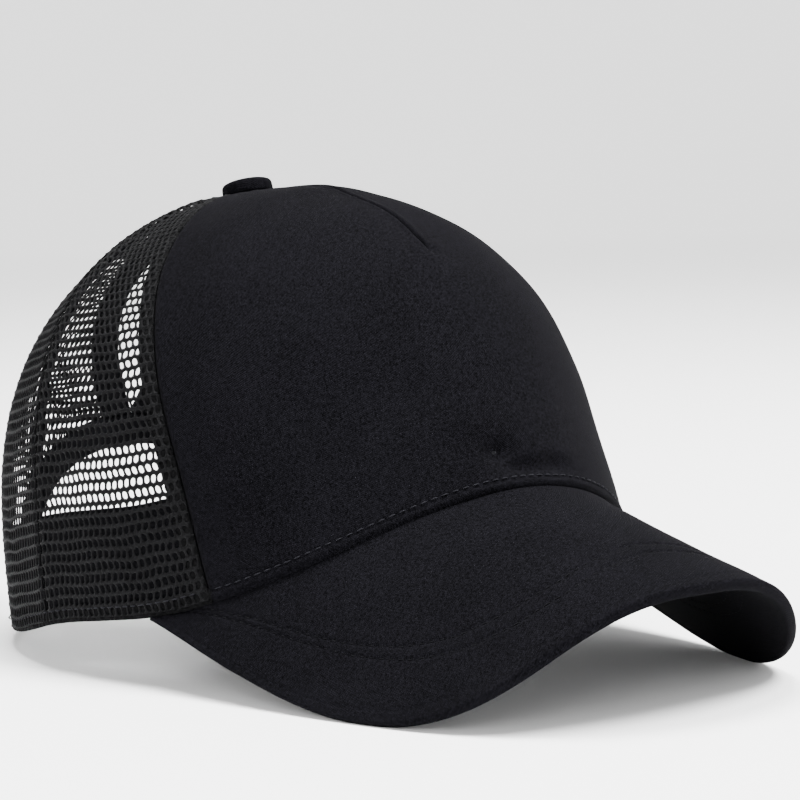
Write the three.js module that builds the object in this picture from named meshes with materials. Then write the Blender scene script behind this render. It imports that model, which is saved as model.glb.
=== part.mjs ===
// A ponytail baseball cap: a plain cloth front, net sides and back, a bent brim, and at the back a
// leaf-shaped hole for a ponytail above the arch of the adjustable strap.
// Lengths are in millimetres and angles in degrees. In the cap's own frame the rim lies about height 0,
// the brim points to -Y and the wearer's left is +X. Angles run round the crown from the front, 0,
// through the wearer's left, 90, to the back, 180. The last lines lay the cap down as it rests.
import * as THREE from "three";

// Crown
const crownHalfWidth = 81;
const crownFrontReach = 110.5;
const crownBackReach = 93.5;
const crownHeight = 114;
const buttonSetBack = 5;
const rimFrontRise = 24;
const rimRiseAngle = 73;
const rimBackDrop = 3;
const rimDropFrom = 84;
const rimDropTo = 112;

// The crown's wall at equal steps from the rim to the button: how far it has risen, and how far it
// reaches to the front, side and back, as shares of the sizes above.
const profile = [
  { rise: 0, front: 0.976, side: 1, back: 1 },
  { rise: 0.14, front: 0.936, side: 0.997, back: 0.998 },
  { rise: 0.281, front: 0.9, side: 0.987, back: 0.986 },
  { rise: 0.42, front: 0.865, side: 0.961, back: 0.951 },
  { rise: 0.553, front: 0.82, side: 0.91, back: 0.882 },
  { rise: 0.673, front: 0.753, side: 0.83, back: 0.775 },
  { rise: 0.775, front: 0.663, side: 0.723, back: 0.634 },
  { rise: 0.858, front: 0.552, side: 0.592, back: 0.473 },
  { rise: 0.924, front: 0.424, side: 0.439, back: 0.303 },
  { rise: 0.973, front: 0.285, side: 0.25, back: 0.145 },
  { rise: 1, front: 0, side: 0, back: 0 },
];

// The seams at equal steps from the rim to the button, as angles from the front.
const seams = [
  { frontSeam: 57, sideSeam: 92 },
  { frontSeam: 58.5, sideSeam: 92 },
  { frontSeam: 62.5, sideSeam: 93 },
  { frontSeam: 66, sideSeam: 96 },
  { frontSeam: 69, sideSeam: 100 },
  { frontSeam: 78, sideSeam: 106 },
];

// Relief of the wall: the dart down the middle of the front, the lines of the seams, and two dents
// over the brim, each placed across from the middle and up from the rim.
const reliefTop = 0.9;
const dartEnd = 0.53;
const dartFade = 0.06;
const dartDepth = 0.8;
const dartHalfWidth = 1.6;
const frontRidge = { height: 0.5, halfWidth: 4 };
const sideRidge = { height: 1.2, halfWidth: 7 };
const dents = [
  { across: -5, up: 12, halfWidth: 6, halfHeight: 5, depth: 1.6 },
  { across: 7, up: 5, halfWidth: 13, halfHeight: 4, depth: 1.2 },
];

// Cloth, net and clearances
const frontThickness = 1.2;
const netThickness = 1;
const seamGap = 0.4;
const layerGap = 0.3;
const crownTop = 0.99;

// Openings at the back, measured flat along the wall: across from the middle and up from the rim.
const archHalfWidth = 50;
const archHeight = 49.5;
const holeLength = 76;
const holeHalfWidth = 15;
const holeWidestAt = 0.64;
const holeTipPower = 1.15;
const bindingWidth = 10;
const bindingThickness = 2;
const bindingProud = 0.7;

// Sweatband, seam tapes and strap
const sweatbandHeight = 29;
const sweatbandThickness = 1.5;
const sweatbandLift = 0.5;
const sweatbandInset = 0.7;
const frontTapeWidth = 12;
const sideTapeWidth = 9;
const sideTapeShift = 3.4;
const tapeThickness = 1;
const tapeTop = 0.86;
const tapeInset = 0.6;
const tapeFootGap = 1;
const strapHeight = 20;
const strapThickness = 1.5;
const strapLift = 1;
const strapFootCover = 2;
const outerStrapPast = 36;
const innerStrapPast = 22;
const strapTipLength = 12;
const strapTipHeight = 8;
const strapBendFrom = 0.56;
const strapBendTo = 0.84;

// Button
const buttonRadius = 7.4;
const buttonHeight = 3.5;
const buttonSkirt = 1.1;
const buttonShift = 3;
const buttonLift = 0.5;
const buttonRoundness = 0.4;

// Brim: its outline seen from above runs from a corner on the rim, out sideways and round the front.
const brimCornerAngle = 68.7;
const brimReach = 61;
const brimThickness = 3;
const brimSlope = 23.6;
const brimSidePull = 80;
const brimFrontPull = 55.7;
const brimToeIn = 5.2;
const brimBendDepth = 113;
const brimBendPower = 2.6;
const brimCornerBlend = 0.3;
const brimEnd = 0.985;
const brimGap = 0.3;

// Facets
const frontColumns = 32;
const wallRows = 18;
const sideColumns = 7;
const backColumns = 9;
const archSteps = 40;
const holeSteps = 22;
const sweatbandSteps = 64;
const sweatbandRows = 4;
const strapSteps = 22;
const buttonSides = 28;
const buttonRounds = 6;
const brimColumns = 36;
const brimRows = 7;
const lineSteps = 64;

const blackTwill = { color: 0x1a1a20, roughness: 0.95, metalness: 0 };
const blackNet = { color: 0x26262a, roughness: 0.8, metalness: 0 };
const blackTape = { color: 0x202025, roughness: 0.9, metalness: 0 };

const radians = THREE.MathUtils.degToRad;
const mix = THREE.MathUtils.lerp;
const smooth = THREE.MathUtils.smoothstep;

// A smooth curve through the rows of a table, read at a share of the way from its first row to its
// last. Past the last row it runs on straight, or mirrors with the given sign as over the crown's top.
function readTable(rows, column, share, mirrorSign) {
  const last = rows.length - 1;
  const place = Math.min(Math.max(share, 0), 1) * last;
  const index = Math.min(Math.floor(place), last - 1);
  const part = place - index;
  const value = (row) => rows[row][column];
  const start = value(index);
  const end = value(index + 1);
  const before = index > 0 ? value(index - 1) : 2 * start - end;
  let after = index + 2 <= last ? value(index + 2) : 2 * end - start;
  if (index + 2 > last && mirrorSign) after = mirrorSign * start;
  const slopeStart = (end - before) / 2;
  const slopeEnd = (after - start) / 2;
  const square = part * part;
  const cube = square * part;
  return (
    start * (2 * cube - 3 * square + 1) +
    slopeStart * (cube - 2 * square + part) +
    end * (3 * square - 2 * cube) +
    slopeEnd * (cube - square)
  );
}

// Height of the rim: it arches up over the brim and hangs a little at the back.
function rimHeight(angle) {
  const turn = Math.abs(angle);
  const arch = Math.cos((Math.min(turn / rimRiseAngle, 1) * Math.PI) / 2) ** 2;
  return rimFrontRise * arch - rimBackDrop * smooth(turn, rimDropFrom, rimDropTo);
}

// Half axes of the level ring at a share of the way up the wall, on the side that an angle faces.
function ringAxes(angle, share) {
  const forward = Math.cos(radians(angle)) > 0;
  const reach = forward ? crownFrontReach : crownBackReach;
  return {
    side: crownHalfWidth * readTable(profile, "side", share, -1),
    reach: reach * readTable(profile, forward ? "front" : "back", share, -1),
  };
}

function crownBase(angle, share) {
  const axes = ringAxes(angle, share);
  const rise = readTable(profile, "rise", share, 1);
  const rim = rimHeight(angle);
  return new THREE.Vector3(
    axes.side * Math.sin(radians(angle)),
    buttonSetBack * rise - axes.reach * Math.cos(radians(angle)),
    rim + (crownHeight - rim) * rise,
  );
}

function crownNormal(angle, share) {
  const turn = 0.5;
  const step = 0.004;
  const around = crownBase(angle + turn, share).sub(crownBase(angle - turn, share));
  const upward = crownBase(angle, share + step).sub(crownBase(angle, share - step));
  return around.cross(upward).normalize();
}

// Millimetres round the ring for each degree.
function ringSpeed(angle, share) {
  const axes = ringAxes(angle, share);
  const turn = radians(angle);
  return radians(Math.hypot(axes.side * Math.cos(turn), axes.reach * Math.sin(turn)));
}

const wallLength = measureWall();

// Length of the wall at the middle of the back, from the rim to the button.
function measureWall() {
  let length = 0;
  for (let step = 0; step < lineSteps; step += 1) {
    const from = crownBase(180, step / lineSteps);
    length += from.distanceTo(crownBase(180, (step + 1) / lineSteps));
  }
  return length;
}

function bell(distance, halfWidth) {
  return Math.exp(-((distance / halfWidth) ** 2));
}

// How far the wall stands out of its plain shape: seam lines stand proud, the dart and dents sink in.
function relief(angle, share) {
  const turn = Math.abs(angle);
  const speed = ringSpeed(angle, share);
  const across = crownBase(angle, share).x;
  const toFront = (turn - readTable(seams, "frontSeam", share)) * speed;
  const toSide = (turn - readTable(seams, "sideSeam", share)) * speed;
  const topFade = 1 - smooth(share, reliefTop, crownTop);
  let height = frontRidge.height * bell(toFront, frontRidge.halfWidth) * topFade;
  height += sideRidge.height * bell(toSide, sideRidge.halfWidth) * topFade;
  if (turn > 90) return height;
  const dart = smooth(share, dartEnd - dartFade, dartEnd + dartFade) * topFade;
  height -= dartDepth * dart * bell(across, dartHalfWidth);
  for (const dent of dents) {
    const sideways = bell(across - dent.across, dent.halfWidth);
    height -= dent.depth * sideways * bell(share * wallLength - dent.up, dent.halfHeight);
  }
  return height;
}

// A point on the wall, lifted off it along its normal.
function onWall(angle, share, lift) {
  const point = crownBase(angle, share);
  return point.addScaledVector(crownNormal(angle, share), lift + relief(angle, share));
}

// The angle that lies a distance across from the middle of the back, along the ring.
function backAngle(across, share) {
  const steps = 16;
  const step = Math.abs(across) / steps;
  let turn = 180;
  for (let count = 0; count < steps; count += 1) {
    const halfway = turn - step / 2 / ringSpeed(turn, share);
    turn -= step / ringSpeed(halfway, share);
  }
  return across < 0 ? -turn : turn;
}

// A point of the flat pattern of the back, laid on the wall.
function onBack(across, up, lift) {
  const share = up / wallLength;
  return onWall(backAngle(across, share), share, lift);
}

// A closed solid between an outer and an inner sheet, each worked out by point(u, v, inner).
function sheetSolid(columns, rows, point) {
  const vertices = [];
  const width = columns + 1;
  const count = width * (rows + 1);
  for (const inner of [false, true]) {
    for (let row = 0; row <= rows; row += 1) {
      for (let column = 0; column <= columns; column += 1) {
        vertices.push(point(column / columns, row / rows, inner));
      }
    }
  }
  const faces = [];
  const quad = (a, b, c, d) => faces.push([a, b, c], [a, c, d]);
  const outer = (column, row) => row * width + column;
  const inner = (column, row) => count + outer(column, row);
  for (let row = 0; row < rows; row += 1) {
    for (let column = 0; column < columns; column += 1) {
      const [right, above] = [column + 1, row + 1];
      quad(outer(column, row), outer(right, row), outer(right, above), outer(column, above));
      quad(inner(column, row), inner(column, above), inner(right, above), inner(right, row));
    }
  }
  for (let column = 0; column < columns; column += 1) {
    const right = column + 1;
    quad(outer(column, 0), inner(column, 0), inner(right, 0), outer(right, 0));
    quad(outer(right, rows), inner(right, rows), inner(column, rows), outer(column, rows));
  }
  for (let row = 0; row < rows; row += 1) {
    const above = row + 1;
    quad(outer(0, above), inner(0, above), inner(0, row), outer(0, row));
    quad(outer(columns, row), inner(columns, row), inner(columns, above), outer(columns, above));
  }
  return solidGeometry(vertices, faces);
}

// Triangles with their faces pointing out, whichever way round the sheet was worked out.
function solidGeometry(vertices, faces) {
  let volume = 0;
  for (const [a, b, c] of faces) {
    const normal = new THREE.Vector3().crossVectors(vertices[b], vertices[c]);
    volume += normal.dot(vertices[a]);
  }
  const ordered = volume < 0 ? faces.map(([a, b, c]) => [a, c, b]) : faces;
  const geometry = new THREE.BufferGeometry();
  const places = vertices.flatMap((vertex) => vertex.toArray());
  geometry.setAttribute("position", new THREE.Float32BufferAttribute(places, 3));
  geometry.setIndex(ordered.flat());
  geometry.computeVertexNormals();
  return geometry;
}

function piece(name, geometry, finish) {
  const mesh = new THREE.Mesh(geometry, new THREE.MeshStandardMaterial(finish));
  mesh.name = name;
  return mesh;
}

// Value of a line of flat points at a place along one of its coordinates, or at its nearer end.
function readLine(points, from, to, value) {
  for (let index = 1; index < points.length; index += 1) {
    const low = points[index - 1];
    const high = points[index];
    const part = (value - low[from]) / (high[from] - low[from]);
    if (part >= 0 && part <= 1) return mix(low[to], high[to], part);
  }
  const first = points[0];
  const last = points.at(-1);
  const nearFirst = Math.abs(value - first[from]) < Math.abs(value - last[from]);
  return nearFirst ? first[to] : last[to];
}

// The arch, half an ellipse, moved outward by a distance: a point for a share of the way round it.
function archPoint(share, distance) {
  const turn = share * Math.PI;
  const normal = new THREE.Vector2(Math.cos(turn) / archHalfWidth, Math.sin(turn) / archHeight);
  normal.normalize();
  return {
    across: archHalfWidth * Math.cos(turn) + distance * normal.x,
    up: archHeight * Math.sin(turn) + distance * normal.y,
  };
}

function archLine(distance) {
  const points = [];
  for (let step = 0; step <= lineSteps; step += 1) {
    points.push(archPoint(step / lineSteps / 2, distance));
  }
  return points;
}

const archOuterLine = archLine(bindingWidth + seamGap);
const holeFoot = archHeight + bindingWidth + seamGap;

// Half the hole's width at a share of its length from the lower tip.
function holeWidth(share) {
  const topPower = (holeTipPower * (1 - holeWidestAt)) / holeWidestAt;
  const lower = (Math.max(share, 0) / holeWidestAt) ** holeTipPower;
  const upper = (Math.max(1 - share, 0) / (1 - holeWidestAt)) ** topPower;
  return holeHalfWidth * lower * upper;
}

// The left edge of the hole moved outward by a distance. What would cross the arch's binding or the
// middle of the back is trimmed there.
function holePoint(share, distance) {
  const along = (1 - Math.cos(share * Math.PI)) / 2;
  const step = mix(0.01, 0.00001, along);
  const low = Math.max(along - step, 0);
  const high = Math.min(along + step, 1);
  const tangent = new THREE.Vector2(holeWidth(high) - holeWidth(low), holeLength * (high - low));
  tangent.normalize();
  const across = Math.max(holeWidth(along) + distance * tangent.y, seamGap / 2);
  const up = holeFoot + holeLength * along - distance * tangent.x;
  return { across, up: Math.max(up, readLine(archOuterLine, "across", "up", across)) };
}

function holeLine(distance) {
  const points = [];
  for (let step = 0; step <= lineSteps; step += 1) {
    points.push(holePoint(step / lineSteps, distance));
  }
  return points;
}

const holeOuterLine = holeLine(bindingWidth + seamGap);

// How far the net stands off the middle of the back at a height: round the arch, then round the hole.
function openingEdge(up) {
  const arch = readLine(archOuterLine, "up", "across", up);
  const hole = readLine(holeOuterLine, "up", "across", up);
  return Math.max(arch, hole, seamGap / 2);
}

// Heights of the rows of the back net: they follow the bends of its edge, and one is at its notch.
function backRowHeights() {
  const arch = [];
  const hole = [];
  const every = 5;
  let notch = 0;
  for (let step = 0; step <= lineSteps; step += 1) {
    const onArch = archOuterLine[step];
    const beside = readLine(holeOuterLine, "up", "across", onArch.up);
    if (onArch.across >= beside) notch = onArch.up;
    if (onArch.across >= beside && step % every === 0) arch.push(onArch.up);
  }
  const beside = notch + seamGap;
  for (let step = 0; step <= lineSteps; step += every - 1) {
    if (holeOuterLine[step].up > beside + seamGap) hole.push(holeOuterLine[step].up);
  }
  const below = arch.filter((up) => up < notch - seamGap);
  const top = crownTop * wallLength;
  return [...below, notch, beside, ...hole, (hole.at(-1) + top) / 2, top];
}

// A panel of the crown between two angles, each a function of the share of the way up.
function crownPanel(columns, rows, thickness, shareAt, fromAngle, toAngle) {
  return sheetSolid(columns, rows, (u, v, inner) => {
    const share = shareAt(v);
    const angle = mix(fromAngle(share), toAngle(share), u);
    return onWall(angle, share, inner ? -thickness : 0);
  });
}

// A seam's angle moved along the ring by a distance.
function besideSeam(seam, share, distance) {
  const angle = readTable(seams, seam, share);
  return angle + distance / ringSpeed(angle, share);
}

function frontPanel() {
  const edge = (share) => besideSeam("frontSeam", share, -seamGap / 2);
  // The columns crowd towards the dart.
  const crowding = 1.4;
  const geometry = sheetSolid(frontColumns, wallRows, (u, v, inner) => {
    const share = v * crownTop;
    const sideways = 2 * u - 1;
    const angle = edge(share) * Math.sign(sideways) * Math.abs(sideways) ** crowding;
    return onWall(angle, share, inner ? -frontThickness : 0);
  });
  return piece("front_panel", geometry, blackTwill);
}

function sideMesh(name, side) {
  const shareAt = (v) => v * crownTop;
  const from = (share) => side * besideSeam("frontSeam", share, seamGap / 2);
  const to = (share) => side * besideSeam("sideSeam", share, -seamGap / 2);
  const geometry = crownPanel(sideColumns, wallRows, netThickness, shareAt, from, to);
  return piece(name, geometry, blackNet);
}

function backMesh(name, side) {
  const heights = backRowHeights();
  const rows = heights.length - 1;
  const shareAt = (v) => heights[Math.round(v * rows)] / wallLength;
  const from = (share) => side * besideSeam("sideSeam", share, seamGap / 2);
  const to = (share) => side * backAngle(openingEdge(share * wallLength), share);
  const geometry = crownPanel(backColumns, rows, netThickness, shareAt, from, to);
  return piece(name, geometry, blackNet);
}

const bindingOuter = bindingProud;
const bindingInner = bindingProud - bindingThickness;

function archBinding() {
  const geometry = sheetSolid(archSteps, 2, (u, v, inner) => {
    const point = archPoint(u, v * bindingWidth);
    return onBack(point.across, point.up, inner ? bindingInner : bindingOuter);
  });
  return piece("arch_binding", geometry, blackTape);
}

function holeBinding(name, side) {
  const geometry = sheetSolid(holeSteps, 2, (u, v, inner) => {
    const point = holePoint(u, v * bindingWidth);
    return onBack(side * point.across, point.up, inner ? bindingInner : bindingOuter);
  });
  return piece(name, geometry, blackTape);
}

// Share of the way up the wall that lies a height above the rim, at any angle.
function shareAbove(angle, up) {
  return ((up / wallLength) * crownHeight) / (crownHeight - rimHeight(angle));
}

function sweatband() {
  const end = archHalfWidth + bindingWidth + seamGap;
  const outer = -frontThickness - sweatbandInset;
  const geometry = sheetSolid(sweatbandSteps, sweatbandRows, (u, v, inner) => {
    const up = mix(sweatbandLift, sweatbandLift + sweatbandHeight, v);
    const lastAngle = backAngle(end, up / wallLength);
    const angle = mix(-lastAngle, lastAngle, u);
    return onWall(angle, shareAbove(angle, up), inner ? outer - sweatbandThickness : outer);
  });
  return piece("sweatband", geometry, blackTape);
}

// A tape inside over a seam, its middle shifted towards the back by a distance.
function seamTape(name, seam, side, width, shift, outer) {
  const start = (sweatbandLift + sweatbandHeight + tapeFootGap) / wallLength;
  const geometry = sheetSolid(2, wallRows, (u, v, inner) => {
    const rim = shareAbove(readTable(seams, seam, start), start * wallLength);
    const share = mix(rim, tapeTop, v);
    const angle = side * besideSeam(seam, share, shift + (u - 0.5) * width);
    return onWall(angle, share, inner ? outer - tapeThickness : outer);
  });
  return piece(name, geometry, blackTape);
}

// A half of the strap from its foot, past the middle of the back, to a tapered or plain end.
function strap(name, side, past, tip, liftAt) {
  const foot = archHalfWidth + bindingWidth + (tip > 0 ? strapFootCover : 0);
  const geometry = sheetSolid(strapSteps, 2, (u, v, inner) => {
    const across = mix(foot, -past, u);
    const taper = (Math.max(tip - (across + past), 0) / strapTipLength) * strapTipHeight;
    const up = mix(strapLift + taper / 2, strapLift + strapHeight - taper / 2, v);
    const lift = liftAt(across) + (inner ? 0 : strapThickness);
    return onBack(side * across, up, lift);
  });
  return piece(name, geometry, blackTape);
}

function strapPair() {
  const innerFace = bindingInner - layerGap;
  const outerFoot = bindingOuter + layerGap;
  const outerLift = (across) => {
    const bend = smooth(across / archHalfWidth, strapBendFrom, strapBendTo);
    return mix(innerFace + layerGap, outerFoot, bend);
  };
  const innerLift = () => innerFace - strapThickness;
  return [
    strap("strap_outer", 1, outerStrapPast, strapTipLength, outerLift),
    strap("strap_inner", -1, innerStrapPast, 0, innerLift),
  ];
}

// How far the crown lies below its top at a place seen from above, measured from the top.
function dropBeside(x, y) {
  let low = 0.5;
  let high = 1;
  let angle = 0;
  for (let count = 0; count < lineSteps; count += 1) {
    const middle = (low + high) / 2;
    const axes = ringAxes(y < 0 ? 0 : 180, middle);
    const centre = buttonSetBack * (readTable(profile, "rise", middle, 1) - 1);
    const sideways = x / axes.side;
    const forward = (centre - y) / axes.reach;
    angle = THREE.MathUtils.radToDeg(Math.atan2(sideways, forward));
    if (Math.hypot(sideways, forward) > 1) high = middle;
    else low = middle;
  }
  return crownBase(0, 1).z - crownBase(angle, low).z;
}

// The button sits just behind the crown's top and leans back with it, and its underside is hollowed.
function button() {
  const dropUnder = (turn) => {
    const forward = buttonRadius * Math.cos(radians(turn));
    return dropBeside(buttonRadius * Math.sin(radians(turn)), buttonShift - forward);
  };
  const seat = dropBeside(0, buttonShift);
  const lean = Math.atan((dropUnder(180) - dropUnder(0)) / 2 / buttonRadius);
  let skirt = buttonSkirt;
  for (let turn = 0; turn <= 180; turn += 15) {
    const leaned = Math.sin(lean) * buttonRadius * -Math.cos(radians(turn));
    skirt = Math.min(skirt, dropUnder(turn) - seat - leaned);
  }
  const outline = [new THREE.Vector2(0, 0), new THREE.Vector2(buttonRadius, -skirt)];
  for (let round = 0; round <= buttonRounds; round += 1) {
    const turn = ((round / buttonRounds) * Math.PI) / 2;
    const radius = buttonRadius * Math.max(Math.cos(turn), 0) ** buttonRoundness;
    const height = buttonSkirt + (buttonHeight - buttonSkirt) * Math.sin(turn);
    outline.push(new THREE.Vector2(round === buttonRounds ? 0 : radius, height));
  }
  const mesh = piece("button", new THREE.LatheGeometry(outline, buttonSides), blackTwill);
  const top = crownBase(0, 1);
  mesh.position.set(top.x, top.y + buttonShift, top.z - seat + buttonLift);
  mesh.rotation.x = Math.PI / 2 - lean;
  return mesh;
}

// Outer edge of the brim seen from above, from the front, 0, to the corner, 1.
function brimOutline(share) {
  const corner = crownBase(brimCornerAngle, 0);
  const front = -crownFrontReach - brimReach;
  const curve = new THREE.CubicBezierCurve(
    new THREE.Vector2(0, front),
    new THREE.Vector2(brimFrontPull, front),
    new THREE.Vector2(
      corner.x - brimSidePull * Math.sin(radians(brimToeIn)),
      corner.y - brimSidePull * Math.cos(radians(brimToeIn)),
    ),
    new THREE.Vector2(corner.x, corner.y),
  );
  return curve.getPoint(share);
}

// The brim's upper face: straight lines from the rim, just under the wall, to the bent outer edge.
function brimTop(sideways, outward) {
  const angle = sideways * brimCornerAngle;
  const rim = onWall(angle, 0, -frontThickness);
  rim.z -= brimGap;
  const share = Math.abs(sideways);
  const flat = brimOutline(share);
  const slope = Math.tan(radians(brimSlope)) * (-flat.y - crownFrontReach);
  const bend = brimBendDepth * (flat.x / crownHalfWidth) ** brimBendPower;
  const height = rimFrontRise - slope - bend;
  const blend = (Math.max(share - brimCornerBlend, 0) / (1 - brimCornerBlend)) ** 2;
  const edge = new THREE.Vector3(
    Math.sign(sideways) * flat.x,
    flat.y,
    mix(height, rim.z, blend),
  );
  return rim.lerp(edge, outward);
}

function brim() {
  const step = 0.02;
  const geometry = sheetSolid(brimColumns, brimRows, (u, v, inner) => {
    const sideways = mix(-brimEnd, brimEnd, u);
    const top = brimTop(sideways, v);
    if (!inner) return top;
    const across = brimTop(sideways + step, v).sub(brimTop(sideways - step, v));
    const outward = brimTop(sideways, v + step).sub(brimTop(sideways, v - step));
    const down = outward.cross(across).normalize();
    return top.addScaledVector(down, down.z > 0 ? -brimThickness : brimThickness);
  });
  return piece("brim", geometry, blackTwill);
}

const cap = new THREE.Group();
const netInner = -netThickness - tapeInset;
const frontInner = -frontThickness - tapeInset;
cap.add(frontPanel(), brim(), button(), sweatband(), archBinding(), ...strapPair());
for (const [word, side] of [["left", 1], ["right", -1]]) {
  cap.add(sideMesh("side_mesh_" + word, side));
  cap.add(backMesh("back_mesh_" + word, side));
  cap.add(holeBinding("hole_binding_" + word, side));
  const frontTape = ["front_seam_tape_" + word, "frontSeam", side, frontTapeWidth, 0, frontInner];
  const sideTape = ["side_seam_tape_" + word, "sideSeam", side, sideTapeWidth, sideTapeShift, netInner];
  cap.add(seamTape(...frontTape), seamTape(...sideTape));
}

// Lowest height of some pieces when the whole cap is tipped back.
function lowest(names, tip) {
  cap.rotation.x = -tip;
  cap.updateMatrixWorld(true);
  const box = new THREE.Box3();
  for (const name of names) {
    box.union(new THREE.Box3().setFromObject(cap.getObjectByName(name), true));
  }
  return box.min.z;
}

// The cap tips back until the brim's sides and the back of the rim stand on one floor.
function tipAtRest() {
  const back = ["back_mesh_left", "arch_binding", "strap_outer", "strap_inner"];
  let low = 0;
  let high = radians(30);
  for (let count = 0; count < 30; count += 1) {
    const middle = (low + high) / 2;
    if (lowest(["brim"], middle) < lowest(back, middle)) low = middle;
    else high = middle;
  }
  return low;
}

cap.rotation.x = -tipAtRest();
cap.updateMatrixWorld(true);
const box = new THREE.Box3().setFromObject(cap, true);
const centre = box.getCenter(new THREE.Vector3());
cap.position.set(-centre.x, -centre.y, -box.min.z);

const object = new THREE.Group();
object.add(cap);
export default object;
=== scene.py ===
import math

import bpy
import numpy as np
from mathutils import Matrix, Vector


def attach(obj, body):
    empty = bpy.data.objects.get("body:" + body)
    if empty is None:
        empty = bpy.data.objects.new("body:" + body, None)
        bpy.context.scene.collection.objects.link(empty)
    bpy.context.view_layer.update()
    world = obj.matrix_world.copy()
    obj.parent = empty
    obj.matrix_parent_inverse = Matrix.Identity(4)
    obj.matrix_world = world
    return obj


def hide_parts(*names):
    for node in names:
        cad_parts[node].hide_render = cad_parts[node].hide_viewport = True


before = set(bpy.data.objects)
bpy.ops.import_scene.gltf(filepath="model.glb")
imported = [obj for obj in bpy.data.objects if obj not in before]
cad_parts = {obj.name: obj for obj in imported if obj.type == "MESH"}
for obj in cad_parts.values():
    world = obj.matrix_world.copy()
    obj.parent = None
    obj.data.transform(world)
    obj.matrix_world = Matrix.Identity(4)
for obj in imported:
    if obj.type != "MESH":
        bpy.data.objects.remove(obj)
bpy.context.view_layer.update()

bl_info = {
    "name": "Ponytail cap",
    "version": (1, 0, 0),
    "blender": (4, 5, 0),
    "location": "View3D > Sidebar > Cap",
    "description": "Dresses a ponytail cap in cloth, net, tape and stitches, and sets its studio",
    "category": "Add Mesh",
}

# The cap's pattern, in millimetres and degrees, as its CAD model has it. In the cap's own frame the
# rim lies about height 0, the brim points to -Y and angles run round the crown from the front, 0,
# through the wearer's left, 90, to the back, 180.
HALF_WIDTH, FRONT_REACH, BACK_REACH, HEIGHT = 81.0, 110.5, 93.5, 114.0
BUTTON_SET_BACK, BUTTON_SHIFT, BUTTON_LIFT = 5.0, 3.0, 0.5
RIM_RISE, RIM_RISE_ANGLE = 24.0, 73.0
RIM_DROP, RIM_DROP_FROM, RIM_DROP_TO = 3.0, 84.0, 112.0
PROFILE = {
    "rise": [0, 0.14, 0.281, 0.42, 0.553, 0.673, 0.775, 0.858, 0.924, 0.973, 1],
    "front": [0.976, 0.936, 0.9, 0.865, 0.82, 0.753, 0.663, 0.552, 0.424, 0.285, 0],
    "side": [1, 0.997, 0.987, 0.961, 0.91, 0.83, 0.723, 0.592, 0.439, 0.25, 0],
    "back": [1, 0.998, 0.986, 0.951, 0.882, 0.775, 0.634, 0.473, 0.303, 0.145, 0],
}
SEAMS = {"front": [57, 58.5, 62.5, 66, 69, 78], "side": [92, 92, 93, 96, 100, 106]}
DART_END, DART_DEPTH, DART_WIDTH, DART_SWELL = 0.53, 1.3, 0.5, 0.3
# Dents of the wall and finer creases of its cloth: x, height up the wall, width, tallness, depth.
DENTS = [(-5, 12, 6, 5, 1.6), (7, 5, 13, 4, 1.2)]
CREASES = [(-5, 12, 3.5, 3, 1.2), (2, 6.5, 6, 2.2, 1.3), (13, 7, 4, 2.5, 1.1), (-14, 17, 8, 5, 0.5)]
RELIEF_TOP, CROWN_TOP = 0.9, 0.99
ARCH_HALF_WIDTH, ARCH_HEIGHT = 50.0, 49.5
HOLE_LENGTH, HOLE_HALF_WIDTH, HOLE_WIDEST, HOLE_TIP_POWER = 76.0, 15.0, 0.64, 1.15
BINDING_WIDTH, BINDING_GAP, BINDING_SEW = 10.0, 0.4, 1.6
BAND_LIFT, BAND_HEIGHT = 0.5, 29.0
# Tapes over the seams inside: seam, width, shift to the back, lift off the wall, lift of the foot.
TAPES = (("front", 12.0, 0.0, -2.3, -1.52), ("side", 9.0, 3.4, -2.1, -1.42))
TAPE_START, TAPE_TOP = 20.0, 0.86
STRAP_LIFT, STRAP_HEIGHT, STRAP_THICKNESS, STRAP_SEW = 1.0, 20.0, 1.6, 1.5
BRIM_ANGLE, BRIM_REACH, BRIM_SLOPE = 68.7, 61.0, 23.6
BRIM_SIDE_PULL, BRIM_FRONT_PULL, BRIM_TOE_IN = 80.0, 55.7, 5.2
BRIM_BEND, BRIM_POWER, BRIM_BLEND, BRIM_END = 113.0, 2.6, 0.3, 0.995
# The outer row of stitches: how far out on the brim's rays at shares of the way to its corner.
BRIM_ROW = ((0, 0.1, 0.2, 0.3, 0.4, 0.5, 0.6, 0.7, 0.8, 0.9),
            (0.70, 0.74, 0.785, 0.79, 0.76, 0.69, 0.585, 0.44, 0.26, 0.06))
BRIM_ROW_STEPS, BRIM_HALF_THICKNESS = (0.0, 0.078), 1.55
REST_TIP, REST_SHIFT = 7.39, (0.0, 36.77, 14.05)
SIDES = (("left", 1), ("right", -1))
# The studio, in metres and watts: each lamp's name, place, width and power, and the camera's aim.
LAMPS = (("front_lamp", (0.4, -0.75, 1.6), 0.8, 100.0),
         ("top_lamp", (0.0, 0.1, 1.8), 0.9, 85.0),
         ("left_lamp", (-1.3, -1.3, 1.0), 0.9, 14.0))
CAMERA_AIM = (0.02288, 0.01892, 0.06652)


def smooth(value, low, high):
    """An even S from 0 at low to 1 at high: 3t^2 - 2t^3."""
    t = np.clip((value - low) / (high - low), 0, 1)
    return t * t * (3 - 2 * t)


def bell(distance, width):
    """A bump that falls away as exp(-(distance / width)^2)."""
    return np.exp(-((distance / width) ** 2))


def mix(low, high, part):
    """The value a part of the way from low to high."""
    return low + (high - low) * part


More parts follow.
